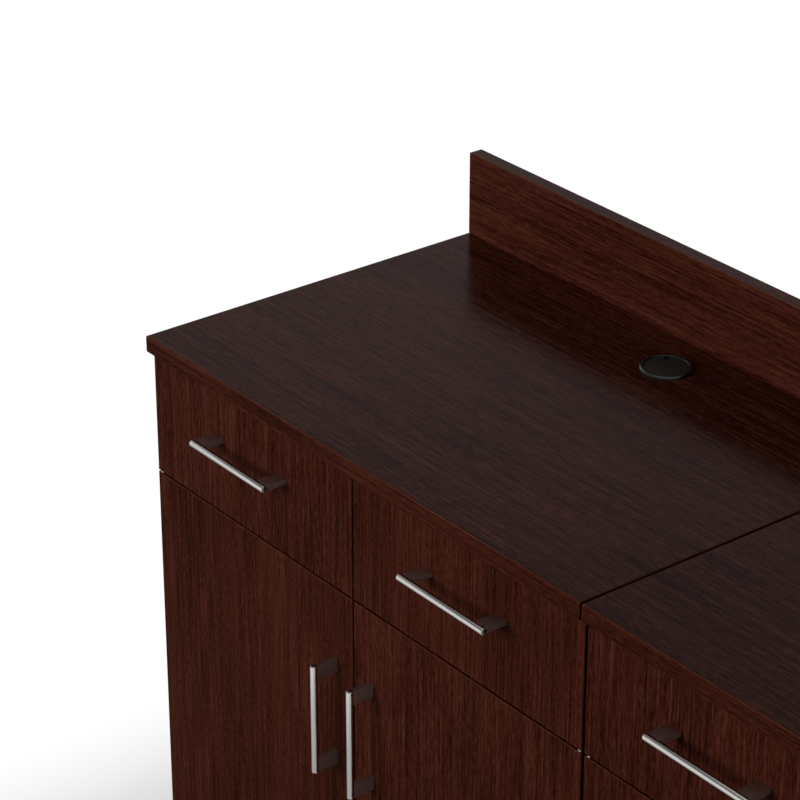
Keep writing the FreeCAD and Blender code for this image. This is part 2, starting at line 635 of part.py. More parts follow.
starts = list(MODULES.values())
side_edges = [x for s in starts for x in (s, f"{s} + module_width - panel_thick")]
group("carcase_rails", [rail for s in starts for rail in rails(s)])
group("drawer_dividers", [divider(s) for s in starts])
group("toe_kicks", [block(f"{s} + panel_thick", f"{CARCASE_Y} + toe_depth", "foot_height", INNER_WIDTH,
                          "kick_thick", "toe_height - foot_height") for s in starts])
group("leveling_feet", [foot(f"{x} + panel_thick / 2", f"{CARCASE_Y} + {y}") for x in side_edges
                        for y in ("toe_depth + foot_inset", f"{CARCASE_DEPTH} - foot_inset")])
group("shelf_pins", [rod(f"{s} + {x}", f"{CARCASE_Y} + shelf_setback + {y}", f"{SHELF_Z} - peg_radius",
                         "peg_radius", "peg_seat + peg_reach", Vector(1, 0, 0)) for s in starts
                     for x in ("panel_thick - peg_seat", "module_width - panel_thick - peg_reach")
                     for y in ("peg_inset", "shelf_depth - peg_inset")])
group("slide_channels", channels)
group("hinge_brackets", arms)
group("door_bumpers", bumpers)
group("cabinet_bolts", [
    fuse(rod("-panel_thick - bolt_head_thick", f"{CARCASE_Y} + {y}", z, "bolt_head_radius", "bolt_head_thick",
             Vector(1, 0, 0)),
         rod("-panel_thick", f"{CARCASE_Y} + {y}", z, "bolt_radius", "2 * panel_thick", Vector(1, 0, 0)),
         rod("panel_thick", f"{CARCASE_Y} + {y}", z, "bolt_head_radius", "bolt_head_thick", Vector(1, 0, 0)))
    for y, z in bolt_spots()])

doc.recompute()
check()
os.makedirs("parts", exist_ok=True)
for piece in nodes:
    piece.Shape.exportStep(os.path.join("parts", piece.Label + ".step"))
print(len(nodes), "pieces")
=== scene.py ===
"""Coffee station with mahogany laminate, satin nickel pulls and a black cable grommet."""
import math

import bmesh
import bpy
import numpy as np
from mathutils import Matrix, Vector


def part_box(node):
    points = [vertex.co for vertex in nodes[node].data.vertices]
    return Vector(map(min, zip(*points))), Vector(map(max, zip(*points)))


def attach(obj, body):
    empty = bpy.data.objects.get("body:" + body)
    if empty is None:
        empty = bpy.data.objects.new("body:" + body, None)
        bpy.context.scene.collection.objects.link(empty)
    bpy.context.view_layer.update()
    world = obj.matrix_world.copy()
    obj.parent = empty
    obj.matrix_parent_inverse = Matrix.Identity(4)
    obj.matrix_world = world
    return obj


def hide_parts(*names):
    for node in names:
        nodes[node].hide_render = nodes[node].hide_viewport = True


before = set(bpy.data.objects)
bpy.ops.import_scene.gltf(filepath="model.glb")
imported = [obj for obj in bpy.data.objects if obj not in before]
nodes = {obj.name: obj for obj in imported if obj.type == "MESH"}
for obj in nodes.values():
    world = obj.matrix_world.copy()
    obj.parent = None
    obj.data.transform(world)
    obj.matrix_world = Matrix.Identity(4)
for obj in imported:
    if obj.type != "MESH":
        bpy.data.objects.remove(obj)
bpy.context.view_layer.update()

MM = 0.001
SEAT = 0.3 * MM  # how far a screw head's rim reaches into the face below it


def linear(code):
    """The linear colour of an sRGB hex code, with alpha 1."""
    values = np.array([int(code[i:i + 2], 16) for i in (1, 3, 5)]) / 255
    curve = np.where(values <= 0.04045, values / 12.92, ((values + 0.055) / 1.055) ** 2.4)
    return (*curve.tolist(), 1.0)


def add(tree, kind, inputs=(), **settings):
    """Adds a node with its settings. Inputs, by name or number, take a value or another node's output."""
    made = tree.nodes.new(kind)
    for name, value in settings.items():
        setattr(made, name, value)
    for name, value in dict(inputs).items():
        if isinstance(value, bpy.types.NodeSocket):
            tree.links.new(value, made.inputs[name])
        else:
            made.inputs[name].default_value = value
    return made


def blank(name):
    """A new material with an empty node tree."""
    material = bpy.data.materials.new(name)
    material.use_nodes = True
    material.node_tree.nodes.clear()
    return material, material.node_tree


# Surfaces worked out with whole arrays

SHARP_ANGLE = math.radians(35)


def skin(rings):
    """Points and faces of a closed skin.

    Quads join each ring to the next, and each end closes on its middle.
    """
    count, around = rings.shape[:2]
    points = np.concatenate([rings.reshape(-1, 3), rings[:1].mean(1), rings[-1:].mean(1)])
    i, j = np.meshgrid(np.arange(count - 1) * around, np.arange(around), indexing="ij")
    k = (j + 1) % around
    quads = np.stack([i + j, i + k, i + around + k, i + around + j], -1).reshape(-1, 4)
    j, k = j[0], k[0]
    last = (count - 1) * around
    fans = np.concatenate([np.stack([np.full(around, count * around), k, j], -1),
                           np.stack([np.full(around, count * around + 1), last + j, last + k], -1)])
    return points, quads.tolist() + fans.tolist()


def carried(shell, origin, axes):
    """A shell moved so that its own three axes lie along the axes given, from an origin."""
    points, faces = shell
    return np.asarray(origin) + points @ np.asarray(axes, float), faces


def piece(name, shells, body, finishes):
    """One object at the origin made of closed shells, which rides on a body.

    The shells take the finishes in turn, and those left over take the last one.
    """
    starts = np.cumsum([0] + [len(points) for points, _ in shells])
    mesh = bpy.data.meshes.new(name)
    mesh.from_pydata(np.concatenate([points for points, _ in shells]).tolist(), [],
                     [[corner + int(start) for corner in face]
                      for start, (_, faces) in zip(starts, shells) for face in faces])
    outward = bmesh.new()
    outward.from_mesh(mesh)
    bmesh.ops.recalc_face_normals(outward, faces=outward.faces)
    outward.to_mesh(mesh)
    outward.free()
    mesh.shade_smooth()
    mesh.set_sharp_from_angle(angle=SHARP_ANGLE)
    for finish in finishes:
        mesh.materials.append(finish)
    worn = np.minimum(np.arange(len(shells)), len(finishes) - 1)
    counts = [len(faces) for _, faces in shells]
    mesh.polygons.foreach_set("material_index", np.repeat(worn, counts).astype(np.int32))
    made = bpy.data.objects.new(name, mesh)
    bpy.context.collection.objects.link(made)
    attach(made, body)
    return made


def round_bar(length, radius, rounding):
    """A bar along its first axis: a circle whose radius rises by a quarter round at each end."""
    turn = np.linspace(0, math.pi / 2, 6)
    rise, inset = rounding * (1 - np.cos(turn)), rounding * (1 - np.sin(turn))
    along = np.concatenate([rise, length - rise[::-1]])
    reach = radius - np.concatenate([inset, inset[::-1]])
    angle = np.linspace(0, 2 * math.pi, 48, endpoint=False)
    rings = np.stack(np.broadcast_arrays(along[:, None], reach[:, None] * np.cos(angle),
                                         reach[:, None] * np.sin(angle)), -1)
    return skin(rings)


def flat_leg(depth, width, thick, rounding):
    """A leg along its first axis: a rectangle with quarter round corners, carried straight."""
    corner = np.repeat(np.arange(4), 5)
    angle = corner * math.pi / 2 + np.tile(np.linspace(0, math.pi / 2, 5), 4)
    side = np.array([(1, 1), (-1, 1), (-1, -1), (1, -1)])[corner]
    b = side[:, 0] * (width / 2 - rounding) + rounding * np.cos(angle)
    c = side[:, 1] * (thick / 2 - rounding) + rounding * np.sin(angle)
    along = np.array([0, depth])[:, None]
    return skin(np.stack(np.broadcast_arrays(along, b, c), -1))


def cross_head(radius, height, recess):
    """A screw head along its first axis: a dome over a polar grid, less a cross slot with sloped walls.

    The dome is an upright rim under a flattened half round. The slot's depth falls to nought across a slope
    at each arm's side and end. The rim starts a little below the face that it sits on.
    """
    around, rim_share, flatness = 32, 0.45, 0.98
    share = np.linspace(1, 0.06, 9)[:, None]
    angle = np.linspace(0, 2 * math.pi, around, endpoint=False)
    b, c = share * radius * np.cos(angle), share * radius * np.sin(angle)
    dome = height * (rim_share + (1 - rim_share) * np.sqrt(1 - flatness * share ** 2)) * np.ones_like(b)
    arm, reach = 0.17 * radius, 0.62 * radius
    side_slope, end_slope = 0.6 * arm, 0.15 * radius
    in_arm = np.clip((arm - np.minimum(abs(b), abs(c))) / side_slope, 0, 1)
    in_length = np.clip((reach - np.maximum(abs(b), abs(c))) / end_slope, 0, 1)
    rim = np.stack([np.full(around, -SEAT), b[0], c[0]], -1)[None]
    top = np.stack([dome - recess * in_arm * in_length, b, c], -1)
    return skin(np.concatenate([rim, top]))


# Finishes

# Tones of a print: ground from dark to light, streaks, threads and flecks, pores
MAHOGANY = ("#230A05", "#30110A", "#492217", "#533128", "#1C0502")
PALE_BAND = ("#270C06", "#34140D", "#4E261B", "#532E24", "#1F0703")
# Darker tones for the fronts' upper and lower edges: painted shade in the gaps between fronts
GAP_SHADE_TONES = ("#180602", "#200A05", "#30150D", "#341A13", "#120301")
# Colour of the painted highlight on upper arrises
ARRIS_HIGHLIGHT_MAHOGANY = "#6B3A28"
# Layers of a print: width in mm, length in mm before the run, detail and wander of the noise
PRINT_LAYERS = ((60, 20, 1, 0.5), (7, 12, 2, 0.5), (1.2, 5.5, 3, 0.3), (0.8, 0.4, 1, 0.1))
# Painted highlight on upper arrises: the distance within which it is full, that at which it ends, and the
# strip below a box's top that it covers
ARRIS_HIGHLIGHT_CORE, ARRIS_HIGHLIGHT_REACH, ARRIS_HIGHLIGHT_STRIP = 0.3 * MM, 1.4 * MM, 1.5 * MM


def mahogany_laminate(name, grain, shift, across, run, gloss, roughness, box=None, tones=MAHOGANY):
    """Printed mahogany laminate, pressed under heat: drift, figure, long streaks and short flecks and pores.

    Each layer is noise stretched along the grain by the run, and widened across it. The eye sees red brown
    streaks, denser where drift and figure are high, with paler threads on their crests, broken by pale flecks
    and dark pores, under a thin clear sheen. Streaks and pores are drawn coarser than real, so that they
    show. On a panel with a box, the upper arrises are drawn paler, a painted highlight where they would
    catch the light: that is where the second least distance to the box's faces is small, in the strip below
    the box's top.
    """
    material, tree = blank(name)
    place = add(tree, "ShaderNodeTexCoord").outputs["Object"]
    layers = []
    for width, length, detail, wander in PRINT_LAYERS:
        scale = 1 / (np.array(across) * width * MM)
        scale["XYZ".index(grain)] = 1 / (run * length * MM)
        spread = add(tree, "ShaderNodeMapping", {"Vector": place, "Location": shift, "Scale": scale})
        layers.append(add(tree, "ShaderNodeTexNoise", {
            "Vector": spread.outputs[0], "Scale": 1.0, "Detail": detail, "Roughness": 0.6,
            "Distortion": wander}).outputs[0])
    drift, figure, streaks, pores = layers
    slow = add(tree, "ShaderNodeMath", {0: drift, 1: figure}, operation="ADD")
    broad = add(tree, "ShaderNodeMapRange", {"Value": slow.outputs[0], "From Min": 0.76, "From Max": 1.24})
    lean = add(tree, "ShaderNodeMath", {0: slow.outputs[0], 1: 0.25, 2: streaks}, operation="MULTIPLY_ADD")
    fine = add(tree, "ShaderNodeMapRange", {"Value": lean.outputs[0], "From Min": 0.59, "From Max": 0.91})
    thread = add(tree, "ShaderNodeMapRange", {"Value": lean.outputs[0], "From Min": 0.82, "From Max": 0.96,
                                              "To Max": 0.45})
    fleck = add(tree, "ShaderNodeMapRange", {"Value": pores, "From Min": 0.46, "From Max": 0.32,
                                             "To Max": 0.32})
    pit = add(tree, "ShaderNodeMapRange", {"Value": pores, "From Min": 0.52, "From Max": 0.66,
                                           "To Max": 0.52})
    colour = add(tree, "ShaderNodeMix", {0: broad.outputs[0], 6: linear(tones[0]), 7: linear(tones[1])},
                 data_type="RGBA").outputs[2]
    for part, tone in zip((fine, thread, fleck, pit), (tones[2], tones[3], tones[3], tones[4])):
        colour = add(tree, "ShaderNodeMix", {0: part.outputs[0], 6: colour, 7: linear(tone)},
                     data_type="RGBA").outputs[2]
    # Painted highlight: the upper arrises are drawn paler, as if they caught the light
    if box:
        low, high = map(np.array, box)
        off = add(tree, "ShaderNodeVectorMath", {0: place, 1: (low + high) / 2}, operation="SUBTRACT")
        off = add(tree, "ShaderNodeVectorMath", {0: off.outputs[0]}, operation="ABSOLUTE")
        inward = add(tree, "ShaderNodeVectorMath", {0: (high - low) / 2, 1: off.outputs[0]},
                     operation="SUBTRACT")
        x, y, z = add(tree, "ShaderNodeSeparateXYZ", {0: inward.outputs[0]}).outputs
        less = add(tree, "ShaderNodeMath", {0: x, 1: y}, operation="MINIMUM")
        more = add(tree, "ShaderNodeMath", {0: x, 1: y}, operation="MAXIMUM")
        more = add(tree, "ShaderNodeMath", {0: more.outputs[0], 1: z}, operation="MINIMUM")
        arris = add(tree, "ShaderNodeMath", {0: less.outputs[0], 1: more.outputs[0]}, operation="MAXIMUM")
        near = add(tree, "ShaderNodeMapRange", {"Value": arris.outputs[0], "From Min": ARRIS_HIGHLIGHT_CORE,
                                                "From Max": ARRIS_HIGHLIGHT_REACH, "To Min": 0.6, "To Max": 0.0})
        rise = add(tree, "ShaderNodeSeparateXYZ", {0: place}).outputs["Z"]
        upper = add(tree, "ShaderNodeMath", {0: rise, 1: high[2] - ARRIS_HIGHLIGHT_STRIP}, operation="GREATER_THAN")
        painted_highlight = add(tree, "ShaderNodeMath", {0: near.outputs[0], 1: upper.outputs[0]}, operation="MULTIPLY")
        colour = add(tree, "ShaderNodeMix", {0: painted_highlight.outputs[0], 6: colour, 7: linear(ARRIS_HIGHLIGHT_MAHOGANY)},
                     data_type="RGBA").outputs[2]
    rough = add(tree, "ShaderNodeMapRange", {"Value": fine.outputs[0], "To Min": roughness - 0.02,
                                             "To Max": roughness + 0.03})
    bump = add(tree, "ShaderNodeBump", {"Height": pit.outputs[0], "Strength": 0.12, "Distance": 0.05 * MM},
               invert=True)
    shader = add(tree, "ShaderNodeBsdfPrincipled", {
        "Base Color": colour, "Roughness": rough.outputs[0], "IOR": 1.5, "Specular IOR Level": gloss,
        "Normal": bump.outputs[0]})
    add(tree, "ShaderNodeOutputMaterial", {"Surface": shader.outputs[0]})
    return material


def satin_nickel(name, grain, roughness, edge_shade_from, edge_shade_to):
    """Nickel plate, brushed along the bar: a soft highlight with fine lines, drawn 0.5 mm wide to show.

    Seen edge on, the plate's colour is darkened, a painted shade that draws a dark line along each side of a
    bar. The shade sets in between two values of the facing weight. A face across the grain, such as a bar's
    end, is duller.
    """
    material, tree = blank(name)
    place = add(tree, "ShaderNodeTexCoord").outputs["Object"]
    scale = [1 / (0.5 * MM)] * 3
    scale["XYZ".index(grain)] = 1 / (18 * MM)
    lines = add(tree, "ShaderNodeMapping", {"Vector": place, "Scale": scale})
    hair = add(tree, "ShaderNodeTexNoise", {"Vector": lines.outputs[0], "Scale": 1.0, "Detail": 2.0})
    rough = add(tree, "ShaderNodeMapRange", {"Value": hair.outputs[0], "To Min": roughness - 0.04,
                                             "To Max": roughness + 0.04})
    facing = add(tree, "ShaderNodeSeparateXYZ", {0: add(tree, "ShaderNodeNewGeometry").outputs["Normal"]})
    across = add(tree, "ShaderNodeMath", {0: facing.outputs[grain]}, operation="ABSOLUTE")
    rough = add(tree, "ShaderNodeMapRange", {"Value": across.outputs[0], "From Min": 0.3, "From Max": 0.8,
                                             "To Min": rough.outputs[0], "To Max": 0.5})
    tone = add(tree, "ShaderNodeMix", {0: hair.outputs[0], 6: linear("#C6C3C0"), 7: linear("#D3D0CD")},
               data_type="RGBA")
    # Painted shade: seen edge on, the colour turns dark grey, drawing a dark line along each side of a bar or
    # leg
    edge_on = add(tree, "ShaderNodeLayerWeight", {"Blend": 0.5}).outputs["Facing"]
    painted_edge_shade = add(tree, "ShaderNodeMapRange", {"Value": edge_on, "From Min": edge_shade_from, "From Max": edge_shade_to})
    tone = add(tree, "ShaderNodeMix", {0: painted_edge_shade.outputs[0], 6: tone.outputs[2], 7: linear("#4A4846")},
               data_type="RGBA")
    shader = add(tree, "ShaderNodeBsdfPrincipled", {"Base Color": tone.outputs[2], "Metallic": 1.0,
                                                    "Roughness": rough.outputs[0]})
    add(tree, "ShaderNodeOutputMaterial", {"Surface": shader.outputs[0]})
    return material


def zinc_plated_steel():
    """Rolled steel with bright zinc: cool grey with a faint cloudy spangle."""
    material, tree = blank("zinc plated steel")
    place = add(tree, "ShaderNodeTexCoord").outputs["Object"]
    cloud = add(tree, "ShaderNodeTexNoise", {"Vector": place, "Scale": 1 / (7 * MM), "Detail": 3.0})
    tone = add(tree, "ShaderNodeMix", {0: cloud.outputs[0], 6: linear("#94979B"), 7: linear("#B9BCC0")},
               data_type="RGBA")
    rough = add(tree, "ShaderNodeMapRange", {"Value": cloud.outputs[0], "To Min": 0.3, "To Max": 0.45})
    shader = add(tree, "ShaderNodeBsdfPrincipled", {"Base Color": tone.outputs[2], "Metallic": 1.0,
                                                    "Roughness": rough.outputs[0]})
    add(tree, "ShaderNodeOutputMaterial", {"Surface": shader.outputs[0]})
    return material


def black_abs(name, gloss, roughness):
    """Moulded ABS, near black with a grey sheen and a fine spark texture, drawn 0.8 mm wide to show."""
    material, tree = blank(name)
    place = add(tree, "ShaderNodeTexCoord").outputs["Object"]
    grit = add(tree, "ShaderNodeTexNoise", {"Vector": place, "Scale": 1 / (0.8 * MM), "Detail": 2.0})
    tone = add(tree, "ShaderNodeMix", {0: grit.outputs[0], 6: linear("#100E0D"), 7: linear("#1A1716")},
               data_type="RGBA")
    rough = add(tree, "ShaderNodeMapRange", {"Value": grit.outputs[0], "To Min": roughness - 0.04,
                                             "To Max": roughness + 0.06})
    bump = add(tree, "ShaderNodeBump", {"Height": grit.outputs[0], "Strength": 0.15, "Distance": 0.05 * MM})
    shader = add(tree, "ShaderNodeBsdfPrincipled", {
        "Base Color": tone.outputs[2], "Roughness": rough.outputs[0], "IOR": 1.53,
        "Specular IOR Level": gloss, "Normal": bump.outputs[0]})
    add(tree, "ShaderNodeOutputMaterial", {"Surface": shader.outputs[0]})
    return material


def maple_melamine():
    """Melamine paper with a maple print: pale straw with faint grain lines along the drawer."""
    material, tree = blank("maple melamine")
    place = add(tree, "ShaderNodeTexCoord").outputs["Object"]
    scale = (1 / (5 * MM), 1 / (80 * MM), 1 / (5 * MM))
    lines = add(tree, "ShaderNodeMapping", {"Vector": place, "Scale": scale})
    grain = add(tree, "ShaderNodeTexNoise", {"Vector": lines.outputs[0], "Scale": 1.0, "Detail": 4.0,
                                             "Distortion": 0.3})
    tone = add(tree, "ShaderNodeMix", {0: grain.outputs[0], 6: linear("#BFA27C"), 7: linear("#DCC7A5")},
               data_type="RGBA")
    rough = add(tree, "ShaderNodeMapRange", {"Value": grain.outputs[0], "To Min": 0.45, "To Max": 0.55})
    shader = add(tree, "ShaderNodeBsdfPrincipled", {
        "Base Color": tone.outputs[2], "Roughness": rough.outputs[0], "IOR": 1.5, "Specular IOR Level": 0.2})
    add(tree, "ShaderNodeOutputMaterial", {"Surface": shader.outputs[0]})
    return material


def hardboard():
    """Pressed wood fibre: mid brown with a felt of short pale fibres."""
    material, tree = blank("hardboard")
    place = add(tree, "ShaderNodeTexCoord").outputs["Object"]
    fibre = add(tree, "ShaderNodeTexNoise", {"Vector": place, "Scale": 1 / (4 * MM), "Detail": 6.0,
                                             "Roughness": 0.7, "Distortion": 1.2})
    tone = add(tree, "ShaderNodeMix", {0: fibre.outputs[0], 6: linear("#3E2A1D"), 7: linear("#79593F")},
               data_type="RGBA")
    bump = add(tree, "ShaderNodeBump", {"Height": fibre.outputs[0], "Strength": 0.2, "Distance": 0.1 * MM})
    shader = add(tree, "ShaderNodeBsdfPrincipled", {
        "Base Color": tone.outputs[2], "Roughness": 0.75, "IOR": 1.5, "Specular IOR Level": 0.1,
        "Normal": bump.outputs[0]})
    add(tree, "ShaderNodeOutputMaterial", {"Surface": shader.outputs[0]})
    return material


def kick_laminate():
    """Black kick laminate: dull near black, a little paler in patches rubbed by shoes and mops."""
    material, tree = blank("black kick laminate")
    place = add(tree, "ShaderNodeTexCoord").outputs["Object"]
    rub = add(tree, "ShaderNodeTexNoise", {"Vector": place, "Scale": 1 / (40 * MM), "Detail": 5.0})
    tone = add(tree, "ShaderNodeMix", {0: rub.outputs[0], 6: linear("#120E0D"), 7: linear("#241C1A")},
               data_type="RGBA")
    rough = add(tree, "ShaderNodeMapRange", {"Value": rub.outputs[0], "To Min": 0.45, "To Max": 0.65})
    shader = add(tree, "ShaderNodeBsdfPrincipled", {
        "Base Color": tone.outputs[2], "Roughness": rough.outputs[0], "IOR": 1.5, "Specular IOR Level": 0.1})
    add(tree, "ShaderNodeOutputMaterial", {"Surface": shader.outputs[0]})
    return material


def polyurethane():
    """Soft cast bumper: cloudy, nearly clear, with a low sheen."""
    material, tree = blank("polyurethane")
    place = add(tree, "ShaderNodeTexCoord").outputs["Object"]
    haze = add(tree, "ShaderNodeTexNoise", {"Vector": place, "Scale": 1 / (1.5 * MM), "Detail": 2.0})
    tone = add(tree, "ShaderNodeMix", {0: haze.outputs[0], 6: linear("#A9A9A4"), 7: linear("#CACAC5")},
               data_type="RGBA")
    shader = add(tree, "ShaderNodeBsdfPrincipled", {
        "Base Color": tone.outputs[2], "Roughness": 0.35, "IOR": 1.5, "Specular IOR Level": 0.3})
    add(tree, "ShaderNodeOutputMaterial", {"Surface": shader.outputs[0]})
    return material


# Camera and studio

FLOOR_REACH = 9.0
# The rectangle in front of the cabinets where the paper's glow is cut, a painted shade under which the real
# shadow also shows, and how far beyond it the shade fades
SHADOW_MIDDLE, SHADOW_HALF, SHADOW_FADE = (0, -0.4, 0), (0.9, 0.67, 0), 0.5
# Lamps: name, azimuth, elevation, distance, size, shade and the point that they face
LAMPS = (("front key", -15, 20, 4.8, (2.8, 2.0), 0.77, (-0.25, 0.0, 0.75)),
         ("overhead light", -20, 72, 3.5, (2.5, 2.5), 0.08, (0, 0, 0.9)),
         ("rear top light", 170, 32, 4.0, (2.5, 1.2), 0.23, (0, 0, 0.9)),
         ("right fill", 90, 0, 4.0, (2.0, 0.8), 0.5, (0, 0, 0.45)),
         ("left fill", -90, 0, 4.0, (2.0, 0.8), 0.5, (0, 0, 0.45)),
         ("rear fill", 180, 0, 4.0, (3.0, 0.8), 0.6, (0, 0, 0.45)))


def aim(thing, direction):
    """Turns a camera or lamp so that it looks along a direction with its top side up."""
    thing.rotation_euler = Vector(direction).to_track_quat("-Z", "Y").to_euler()


def place_camera():
    """A long lens above the right front, solved from the photograph's straight edges."""
    camera = bpy.data.objects.new("camera", bpy.data.cameras.new("camera"))
    bpy.context.collection.objects.link(camera)
    camera.data.sensor_width = 36.0
    camera.data.lens = 134.76
    camera.data.clip_end = 60.0
    camera.location = (2.2447, -2.3035, 2.7125)
    azimuth, elevation = math.radians(52.03), math.radians(26.95)
    level = math.cos(elevation)
    aim(camera, (-math.sin(azimuth) * level, math.cos(azimuth) * level, -math.sin(elevation)))
    bpy.context.scene.camera = camera


def softbox(name, azimuth, elevation, distance, size, shade, centre):
    """An area lamp on a sphere round a point, left out of gloss, which shows the white surround instead.

    Shade is how bright it makes a white face turned to it.
    """
    lamp = bpy.data.lights.new(name, "AREA")
    lamp.shape = "RECTANGLE"
    lamp.size, lamp.size_y = size
    lamp.energy = shade * (math.pi * distance) ** 2
    thing = bpy.data.objects.new(name, lamp)
    bpy.context.collection.objects.link(thing)
    a, e = math.radians(azimuth), math.radians(elevation)
    out = Vector((math.sin(a) * math.cos(e), -math.cos(a) * math.cos(e), math.sin(e)))
    thing.location = Vector(centre) + out * distance
    aim(thing, -out)
    thing.visible_glossy = False


def seen_straight(tree):
    """One where a ray comes from the camera, or from gloss or clear matter in its sight, and else nought."""
    path = add(tree, "ShaderNodeLightPath").outputs
    seen = add(tree, "ShaderNodeMath", {0: path["Is Camera Ray"], 1: path["Is Glossy Ray"]},
               operation="MAXIMUM")
    return add(tree, "ShaderNodeMath", {0: seen.outputs[0], 1: path["Is Transmission Ray"]},
               operation="MAXIMUM").outputs[0]


def studio():
    """White walls under a dim ceiling with a skylight, a low front key, fills, and white floor paper.

    In front of the cabinets the paper's glow is mostly cut, a painted shade under which the real shadow
    shows. Farther from there it glows more and more, to white.
    """
    scene = bpy.context.scene
    scene.view_settings.view_transform = "Standard"
    scene.world = bpy.data.worlds.new("studio")
    scene.world.use_nodes = True
    tree = scene.world.node_tree
    tree.nodes.clear()
    up = add(tree, "ShaderNodeSeparateXYZ", {0: add(tree, "ShaderNodeTexCoord").outputs["Generated"]})
    height = add(tree, "ShaderNodeMath", {0: up.outputs["Y"], 1: -0.2, 2: up.outputs["Z"]},
                 operation="MULTIPLY_ADD")
    wall = add(tree, "ShaderNodeMapRange", {"Value": height.outputs[0], "From Min": 0.35, "From Max": 0.7,
                                            "To Min": 1.0, "To Max": 0.12})
    skylight = add(tree, "ShaderNodeMapRange", {"Value": up.outputs["Z"], "From Min": 0.8, "From Max": 0.91})
    wall = add(tree, "ShaderNodeMath", {0: wall.outputs[0], 1: skylight.outputs[0]}, operation="MAXIMUM")
    strength = add(tree, "ShaderNodeMapRange", {"Value": seen_straight(tree), "To Min": 0.05,
                                                "To Max": wall.outputs[0]})
    light = add(tree, "ShaderNodeBackground", {"Color": (1, 1, 1, 1), "Strength": strength.outputs[0]})
    add(tree, "ShaderNodeOutputWorld", {"Surface": light.outputs[0]})

    count = 7
    side = np.linspace(-FLOOR_REACH, FLOOR_REACH, count)
    x, y = np.meshgrid(side, side, indexing="ij")
    corner = (np.arange(count - 1)[:, None] * count + np.arange(count - 1)).reshape(-1, 1)
    mesh = bpy.data.meshes.new("floor")
    mesh.from_pydata(np.stack([x, y, np.zeros_like(x)], -1).reshape(-1, 3).tolist(), [],
                     (corner + np.array([0, count, count + 1, 1])).tolist())
    floor = bpy.data.objects.new("floor", mesh)
    bpy.context.collection.objects.link(floor)
    material, tree = blank("white seamless paper")
    seen = seen_straight(tree)
    tone = add(tree, "ShaderNodeMix", {0: seen, 6: linear("#7A7A7A"), 7: linear("#E8E8E8")}, data_type="RGBA")
    paper = add(tree, "ShaderNodeBsdfDiffuse", {"Color": tone.outputs[2]})
    glow = add(tree, "ShaderNodeEmission", {"Color": (1, 1, 1, 1), "Strength": 1.03})
    place = add(tree, "ShaderNodeTexCoord").outputs["Object"]
    aside = add(tree, "ShaderNodeVectorMath", {0: place, 1: SHADOW_MIDDLE}, operation="SUBTRACT")
    aside = add(tree, "ShaderNodeVectorMath", {0: aside.outputs[0]}, operation="ABSOLUTE")
    aside = add(tree, "ShaderNodeVectorMath", {0: aside.outputs[0], 1: SHADOW_HALF}, operation="SUBTRACT")
    aside = add(tree, "ShaderNodeVectorMath", {0: aside.outputs[0], 1: (0, 0, 0)}, operation="MAXIMUM")
    away = add(tree, "ShaderNodeVectorMath", {0: aside.outputs[0]}, operation="LENGTH")
    # Painted shade: within the rectangle the glow's share falls to 0.15, so the paper there is darker than
    # elsewhere
    far = add(tree, "ShaderNodeMapRange", {
        "Value": away.outputs["Value"], "From Min": 0.0, "From Max": SHADOW_FADE, "To Min": 0.15,
        "To Max": 0.97}, interpolation_type="SMOOTHSTEP")
    share = add(tree, "ShaderNodeMath", {0: seen, 1: far.outputs[0]}, operation="MULTIPLY")
    mix = add(tree, "ShaderNodeMixShader", {0: share.outputs[0], 1: paper.outputs[0], 2: glow.outputs[0]})
    add(tree, "ShaderNodeOutputMaterial", {"Surface": mix.outputs[0]})
    mesh.materials.append(material)

    for lamp in LAMPS:
        softbox(*lamp)


place_camera()
studio()

zinc, maple, fibre = zinc_plated_steel(), maple_melamine(), hardboard()
moulded, glossy_rim = black_abs("black ABS", 0.42, 0.38), black_abs("glossy black ABS", 0.45, 0.24)
kick, bumper = kick_laminate(), polyurethane()
# How much wider the print is drawn along each axis, for a grain along X and for one along Z
LEVEL, UPRIGHT = (1, 3.6, 2.1), (2.1, 2.1, 1)
LEVEL_RUN, UPRIGHT_RUN, FRONT_RUN = 40, 34, 27
# How far apart the panels' stretches of the print are, and how many there are
PRINT_STEP, PRINT_STRETCHES = (1.37, 0.61, 2.13), 23
inner = mahogany_laminate("mahogany carcase laminate", "X", (3.1, 1.7, 0.4), LEVEL, LEVEL_RUN, 0.02, 0.3)
# Painted shade: the fronts' upper and lower edges are drawn darker, standing in for the shade in the gaps
gap_shaded_edge_band = mahogany_laminate("mahogany edge band with painted gap shade", "X", (0.7, 2.9, 1.3), LEVEL, LEVEL_RUN, 0.002, 0.3,
                              tones=GAP_SHADE_TONES)


